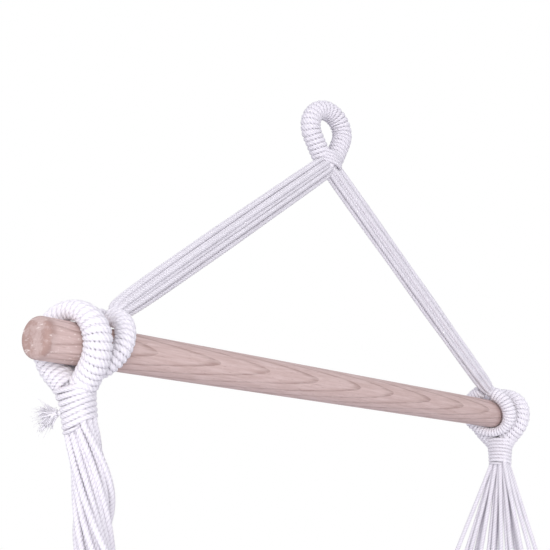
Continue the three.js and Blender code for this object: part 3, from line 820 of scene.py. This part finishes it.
def build_arm(side, sign, bare_front):
    """An arm: its ring, and its cords from there up to the neck."""
    centre = bar_middle + (sign * RING_REACH, 0, 0)
    leg = build_ring(side, sign, centre, bare_front)
    towards_neck = np.array([-sign * math.sin(RING_TILT), 0, math.cos(RING_TILT)])
    stem_start = centre + towards_neck * RING_LEGS_DROP - Y_WAY * ARM_FORWARD
    along_arm = unit(knot - stem_start)
    lower = stem_start + along_arm * RING_STEM_LENGTH
    upper = knot - along_arm * ARM_TOP_GAP
    rise = upper - lower
    across = np.cross(Y_WAY, along_arm)

    def offset(spot, flare):
        wide = (ARM_TIGHT_SPREAD + (ARM_WIDE_SPREAD - ARM_TIGHT_SPREAD) * flare) / 2
        deep = (ARM_TIGHT_SPREAD + (ARM_DEEP_SPREAD - ARM_TIGHT_SPREAD) * flare) / 2
        return across * spot[0] * wide + Y_WAY * spot[1] * deep

    spots = circle_shares(ARM_CORDS, 0.5, 1)
    spots += circle_shares(ARM_INNER_CIRCLE_CORDS, 0, ARM_INNER_REACH_SHARE) + [(0, 0)]
    for index, spot in enumerate(spots):
        points = [
            leg + offset(spot, 0) * 0.45,
            stem_start + offset(spot, 0) * 0.65,
            lower + offset(spot, 0),
            *[lower + rise * share + offset(spot, flare) for share, flare in ARM_FLARE_SHARES],
            knot - along_arm * 0.012 + offset(spot, 0.95),
            knot - along_arm * 0.001 + offset(spot, 1) * 0.75,
            knot + offset(spot, 1) * 0.5 + (0, 0, 0.011),
        ]
        if index < ARM_CORDS:
            name = f"{side}_arm_strand_{index + 1}"
            replaced = [f"{side}_arm_cord_{index + 1}"]
        else:
            name = f"{side}_arm_inner_strand_{index + 1 - ARM_CORDS}"
            replaced = []
        piece, route = laid_cord(name, rounded(points), Y_WAY, None, replaced, index)
        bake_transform(piece)


# The seat's side edge, in the plane of one side of the harness
edge_front = np.array([0, -SEAT_FRONT[0], -SEAT_FRONT[1]])
edge_middle = np.array([0, -SEAT_MIDDLE[0], -SEAT_MIDDLE[1]])
edge_back = np.array([0, SEAT_BACK[0], -SEAT_BACK[1]])
edge_bend = edge_middle * 2 - (edge_front + edge_back) / 2
edge_line = Line(bezier(edge_front, edge_bend, edge_back))


def edge_at(share):
    return edge_line.at(share * edge_line.length), edge_line.tangent(share * edge_line.length)


def edge_place(column, row):
    """Where along the edge a cord ends, from its column and row. Inner cords end between the others."""
    between = 0.5 if column % 1 else 0
    return (column * HARNESS_ROWS + row + between + 0.5) / HARNESS_CORDS


def harness_route(column, row, bunch_share):
    """One harness cord in its plane, from its column and row in the neck to the rope along the seat."""
    sideways = ((HARNESS_ROWS - 1) / 2 - row) * HARNESS_PITCH
    along = (column - (HARNESS_COLUMNS - 1) / 2) * HARNESS_PITCH
    start = np.array([sideways, along, -LOOP_LEGS_DROP - LOOP_STEM_LENGTH])
    target = edge_at(edge_place(column, row))[0]
    bend = start + (target - start) * BUNCH_PLACE_SHARE
    bend[1] = start[1] + (bend[1] - start[1]) * (1 - bunch_share) - BUNCH_LEAN * bunch_share
    end = target + unit(bend - target) * (EDGE_ROPE_RADIUS + CORD_DIAMETER / 2)
    inside = start + (0, 0, HARNESS_INSIDE_NECK)
    return np.concatenate([inside[None], bezier(start, bend, end, 200)])


def twisted(route, middle):
    """One cord of a loose round bundle, carried half a turn round the bundle's middle."""
    share = np.clip(np.linspace(0, 1, len(route)) / BUNDLE_TWIST_SHARE, 0, 1)
    angle = -math.pi * (1 - share) ** BUNDLE_TWIST_POWER
    swell = 1 + BUNDLE_SWELL_SHARE * np.sin(math.pi * share**2)
    aside = (route - middle) * swell[:, None]
    distance = np.linalg.norm(aside[:, :2], axis=1)
    aside[:, :2] *= (BUNDLE_REACH / distance[:, None]) ** (BUNDLE_ROUNDING_SHARE * (1 - share[:, None]))
    turned_aside = np.stack([
        aside[:, 0] * np.cos(angle) - aside[:, 1] * np.sin(angle),
        aside[:, 0] * np.sin(angle) + aside[:, 1] * np.cos(angle),
        aside[:, 2],
    ], axis=-1)
    return middle + turned_aside


def build_loop(side, plane, centre):
    """The wound loop over one end of the bar."""
    radius = (BAR_RADIUS + BAR_CLEARANCE + LOOP_TUBE_RADIUS) / math.cos(HARNESS_LEAN)
    height = (BAR_RADIUS + BAR_CLEARANCE + LOOP_CROWN_RADIUS) / math.cos(HARNESS_LEAN)
    line = eye_curve(radius, height, LOOP_LEGS_DROP)
    place = plane @ turned(("Z", math.pi / 2)), centre

    def radius_at(points):
        return tube_radius_at(points, height, LOOP_TUBE_RADIUS, LOOP_CROWN_RADIUS)

    lean = math.asin(radius / LOOP_LEGS_DROP)
    bare = (LOOP_TUBE_RADIUS - LOOP_LEG_OVERLAP) / math.tan(lean)
    wound_cord(
        side + "_loop_winding", line, bare, line.length - bare, LOOP_TURNS, radius_at,
        place, wrap_cotton, "sling", [side + "_loop_wrap"],
    )
    core_bundle(
        side + "_loop_bundle", line, LOOP_CORE_TRIM, CORE_INSET, radius_at,
        place, "sling", [side + "_loop_core"],
    )


def build_loop_neck(side, plane, centre, slant):
    """The turns that bind a loop's neck. They are widest at the top, over the loop's two legs."""
    height = LOOP_STEM_LENGTH + LOOP_NECK_RISE
    down = Line([(0, 0, 0), (0, 0, -height)])
    plain = LOOP_STEM_RADIUS + LOOP_NECK_COVER
    wide_radii = (plain + LOOP_NECK_WIDE_FLARE, plain + LOOP_NECK_WIDE_FLARE, plain)
    deep_radii = (LOOP_THROAT_REACH, LOOP_SHOULDER_REACH, plain + LOOP_NECK_DEEP_FLARE, plain)

    def radius_at(points):
        share = -points[:, 2] / height
        wide = np.interp(share, LOOP_NECK_WIDE_SHARES, wide_radii)
        return wide, np.interp(share, LOOP_NECK_DEEP_SHARES, deep_radii)

    centres, radial, widths = wound_path(down, 0, down.length, LOOP_NECK_TURNS, radius_at)
    growing = np.interp(-centres[:, 2] / down.length, *NECK_SLANT_SHARES)
    centres[:, 2] += slant * growing * (centres[:, :2] @ VIEW_RIGHT)
    centres = centres @ plane.T + centre + plane @ (0, 0, -LOOP_LEGS_DROP + LOOP_NECK_RISE)
    name = side + "_neck_winding"
    mesh = winding_mesh(name, centres, radial @ plane.T, widths)
    add_object(name, mesh, wrap_cotton, "sling", [side + "_loop_neck_wrap"])


def build_fan(side, plane, centre, bunch_share):
    """The cords from a loop's neck down to the seat's edge."""
    routes = [harness_route(column, row, bunch_share) for column, row in HARNESS_PLACES]
    middle = np.mean(routes[:HARNESS_CORDS], axis=0)
    random = np.random.default_rng(5)
    for index, points in enumerate(routes):
        if bunch_share > 0:
            points = twisted(points, middle)
        share = np.linspace(0, 1, len(points))[:, None]
        bow = np.append(random.uniform(-CORD_BOW, CORD_BOW, 2), 0)
        points = (points + np.sin(math.pi * share) * bow) @ plane.T + centre
        if index < HARNESS_CORDS:
            name = f"{side}_harness_strand_{index + 1:02d}"
            replaced = [f"{side}_harness_cord_{index + 1:02d}"]
        else:
            name = f"{side}_inner_harness_strand_{index - HARNESS_CORDS + 1}"
            replaced = []
        piece, route = laid_cord(name, points, X_WAY, "sling", replaced, index, HARNESS_CORD_DIAMETER)


def build_hitches(side, plane, centre):
    """Two turns of each harness cord round the seat's edge rope."""
    reach = EDGE_ROPE_RADIUS + CORD_DIAMETER * HITCH_REACH_SHARE
    depth = CORD_DIAMETER * HITCH_DEPTH_SHARE
    coils = []
    for column, row in HARNESS_PLACES:
        middle = edge_place(column, row) * edge_line.length
        centres, radial, widths = wound_path(
            edge_line, middle - CORD_DIAMETER, middle + CORD_DIAMETER, HITCH_TURNS,
            lambda points: np.full(len(points), reach), steps_per_turn=20, normal=X_WAY,
        )
        coils.append(cord_mesh("hitch", centres @ plane.T + centre, radial @ plane.T, depth, widths))
    add_object(side + "_hitches", joined(side + "_hitches", coils), wrap_cotton, "sling")


def build_seat_rope(side, sign, plane, centre):
    """The rope along the seat's side, and the thin cord that laces the cloth to it."""
    name = side + "_seat_rope"
    route = edge_at(np.linspace(0, 1, 300))[0] @ plane.T + centre
    outward = np.tile(X_WAY, (len(route), 1))
    mesh = cord_mesh(name, route, outward, EDGE_ROPE_RADIUS, EDGE_ROPE_RADIUS, lay=EDGE_ROPE_LAY)
    rope = add_object(name, mesh, cord_cotton, "sling", [side + "_edge_rope"])

    def radius_at(points):
        return tuple(np.full(len(points), reach) for reach in LACING_REACHES)

    name = side + "_lacing"
    centres, radial, _ = wound_path(
        edge_line, LACING_TRIM, edge_line.length - LACING_TRIM, int(edge_line.length / LACING_PITCH),
        radius_at, steps_per_turn=18, depth=LACING_RADIUS, normal=X_WAY,
    )
    centres = (centres - X_WAY * sign * LACING_INWARD) @ plane.T + centre
    mesh = cord_mesh(name, centres, radial @ plane.T, LACING_RADIUS, LACING_RADIUS, lay=LACING_LAY)
    return [rope, add_object(name, mesh, cord_cotton, "sling")]


def build_harness(side, sign, neck_slant, bunch_share):
    """One side of the harness: its loop and neck, its cords, and the rope and lacing that it carries."""
    plane = turned(("Y", sign * HARNESS_LEAN))
    centre = bar_middle + (sign * LOOP_REACH, 0, 0)
    build_loop(side, plane, centre)
    build_loop_neck(side, plane, centre, neck_slant)
    build_fan(side, plane, centre, bunch_share)
    build_hitches(side, plane, centre)
    return build_seat_rope(side, sign, plane, centre)


def seat_points(across, along):
    """Places on the seat's middle surface.

    across goes from -1 to 1 between the edge ropes, and along from 0 at the front to 1 at the back."""
    edge, tangent = edge_at(along)
    edge = edge @ turned(("Y", HARNESS_LEAN)).T
    half_span = LOOP_REACH + edge[:, 0]
    slack = np.clip((CLOTH_WIDTH / (2 * half_span)) ** 2 - 1, 0, None)
    # The sag of a shallow parabola that is as long as the cloth is wide
    sag = half_span * np.sqrt(0.75 * slack)
    outward = unit(np.stack([0 * along, tangent[:, 2], -tangent[:, 1]], axis=-1))
    hang = outward * SAG_OUTWARD_SHARE
    hang[:, 2] -= 1 - SAG_OUTWARD_SHARE
    hang = unit(hang)
    belly = 1 - across**2
    fold = FOLD_DEPTH * np.cos(FOLDS * math.pi * across)
    ripple = np.sin(across * 23 + np.sin(along * 5) * 2) * np.sin(along * 9 + across * 4)
    depth = belly * (sag + fold + RIPPLE_DEPTH * ripple)
    side = np.stack([across * half_span, edge[:, 1], edge[:, 2]], axis=-1)
    return bar_middle + side + hang * depth[:, None]


def build_seat():
    """The seat cloth, a flat grid laid on the seat's surface and given its thickness, and its two hems."""
    mesh, across, along = grid_mesh("seat_canvas", CLOTH_COLUMNS, CLOTH_ROWS)
    reach = 1 - (EDGE_ROPE_RADIUS + CLOTH_EDGE_GAP) / (CLOTH_WIDTH / 2)
    cloth_length = edge_line.length * CLOTH_LENGTH_SHARE
    places = seat_points((across - 0.5) * 2 * reach, along)
    mesh.vertices.foreach_set("co", places.ravel())
    stretch_uv(mesh, CLOTH_WIDTH, cloth_length)
    mesh.shade_smooth()
    seat = add_object("seat_canvas", mesh, canvas, "sling", ["seat_cloth"])
    thick = seat.modifiers.new("Thickness", "SOLIDIFY")
    thick.thickness = CLOTH_THICKNESS
    thick.offset = 0
    across = np.linspace(-reach, reach, 160)
    for name, along in (("seat_front_hem", 0.0), ("seat_back_hem", 1.0)):
        points = seat_points(across, np.full(len(across), along))
        outward = np.tile([0.0, 0.0, 1.0], (len(points), 1))
        hem = cord_mesh(name, points, outward, HEM_RADIUS, HEM_RADIUS, lay=HEM_LAY, groove=0.0)
        stretch_uv(hem, HEM_CLOTH_PER_PLY, Line(points).length / CORD_PLIES)
        add_object(name, hem, canvas, "sling")


def build_tail():
    """The frayed end of the cord that binds the left neck: a stub, soft locks and loose fibres."""
    plane = turned(("Y", -HARNESS_LEAN))
    turn = plane @ turned(("Z", -math.pi / 4))
    height = -LOOP_LEGS_DROP - LOOP_STEM_LENGTH + TAIL_RISE
    offset = bar_middle + (-LOOP_REACH, 0, 0) + plane @ (0, 0, height)
    start = np.array([-LOOP_STEM_RADIUS - TAIL_REACH, 0, 0])
    end = start - (TAIL_STUB_LENGTH, 0, 0)

    def strand(route, radii, lay, plies):
        route = route @ turn.T + offset
        outward = np.tile([0, 0, 1.0], (len(route), 1))
        return cord_mesh("tail_strand", route, outward, radii, radii, lay=lay, plies=plies)

    strands = [strand(np.linspace(start, end, 12), TAIL_STUB_RADIUS, CORD_LAY, CORD_PLIES)]
    random = np.random.default_rng(7)
    shares = np.linspace(0, 1, 6)[:, None]
    for count, radius, lean, lengths, plies in (
        (TAIL_LOCKS, TAIL_LOCK_RADIUS, TAIL_LOCK_LEAN, TAIL_LOCK_LENGTHS, 2),
        (TAIL_FIBRES, TAIL_FIBRE_RADIUS, TAIL_FIBRE_LEAN, TAIL_FIBRE_LENGTHS, 1),
    ):
        radii = radius * (1 - TAIL_TAPER_SHARE * shares[:, 0])
        for _ in range(count):
            way = unit(np.append(-1, random.normal(0, lean, 2)))
            length = random.uniform(*lengths)
            droop = random.uniform(0, TAIL_DROOP)
            root = end + np.append(TAIL_ROOT_DEPTH, random.normal(0, TAIL_ROOT_SPREAD, 2))
            curl = random.normal(0, TAIL_CURL, (len(shares), 3)) * shares
            route = root + way * length * shares - (0, 0, droop) * shares**2 + curl
            strands.append(strand(route, radii, TAIL_STRAND_LAY, plies))
    mesh = joined("frayed_tail", strands)
    add_object("frayed_tail", mesh, loose_cotton, "sling", ["left_loop_tail"])


def build_world():
    """Soft light from all round, which the camera sees as plain white."""
    world = bpy.data.worlds.new("Studio")
    bpy.context.scene.world = world
    world.use_nodes = True
    tree = world.node_tree
    tree.nodes.clear()
    soft = node(tree, "ShaderNodeBackground", Color=(0.93, 0.92, 1.0, 1), Strength=WORLD_STRENGTH)
    white = node(tree, "ShaderNodeBackground", Color=(1, 1, 1, 1), Strength=1.0)
    light = tree.nodes.new("ShaderNodeLightPath")
    seen = math_node(tree, "MAXIMUM", light.outputs["Is Camera Ray"], light.outputs["Is Glossy Ray"])
    seen = math_node(tree, "MAXIMUM", seen, light.outputs["Is Transmission Ray"])
    both = tree.nodes.new("ShaderNodeMixShader")
    tree.links.new(seen, both.inputs[0])
    tree.links.new(soft.outputs[0], both.inputs[1])
    tree.links.new(white.outputs[0], both.inputs[2])
    out = tree.nodes.new("ShaderNodeOutputWorld")
    tree.links.new(both.outputs[0], out.inputs[0])


def build_lamps():
    for name, place, size, power, colour in (
        ("Key", (-5.6, -5.9, -0.3), 2.3, 254, (1, 0.99, 0.98)),
        ("Side", (-3.9, -0.8, -0.5), 2.0, 30, (1, 0.99, 1)),
        ("Rim", (0.6, 2.0, 0.9), 1.6, 3, (1, 1, 1)),
    ):
        lamp = bpy.data.lights.new(name, "AREA")
        lamp.size, lamp.energy, lamp.color = size, power, colour
        lamp.shape = "SQUARE"
        holder = in_scene(name, lamp)
        holder.location = place
        way = Vector(LAMP_TARGET) - holder.location
        holder.rotation_euler = way.to_track_quat("-Z", "Y").to_euler()


def build_floor():
    mesh = bpy.data.meshes.new("floor")
    ground = bmesh.new()
    bmesh.ops.create_grid(ground, x_segments=1, y_segments=1, size=FLOOR_REACH)
    ground.to_mesh(mesh)
    ground.free()
    floor = in_scene("floor", mesh)
    floor.location.z = FLOOR_HEIGHT
    paint, _, shader = plain_material("Pale floor", 0.8)
    shader.inputs["Base Color"].default_value = (0.86, 0.86, 0.87, 1)
    mesh.materials.append(paint)


def build_camera():
    camera = bpy.data.cameras.new("Camera")
    camera.lens = CAMERA_LENS
    camera.sensor_width = CAMERA_SENSOR
    holder = in_scene("Camera", camera)
    holder.location = CAMERA_PLACE
    holder.rotation_euler = [math.radians(angle) for angle in CAMERA_TURN_DEGREES]
    bpy.context.scene.camera = holder


bpy.context.scene.view_settings.view_transform = "Standard"
build_world()
build_lamps()
build_floor()
build_camera()
build_bar()
build_top_eye()
build_saddle()
build_neck()
build_arm("left", -1, RING_BARE_LEG)
build_arm("right", 1, RIGHT_RING_BARE_FRONT)
seat_ropes = build_harness("left", -1, LEFT_NECK_SLANT, LEFT_BUNCH_SHARE)
seat_ropes += build_harness("right", 1, 0, RIGHT_BUNCH_SHARE)
build_tail()
build_seat()
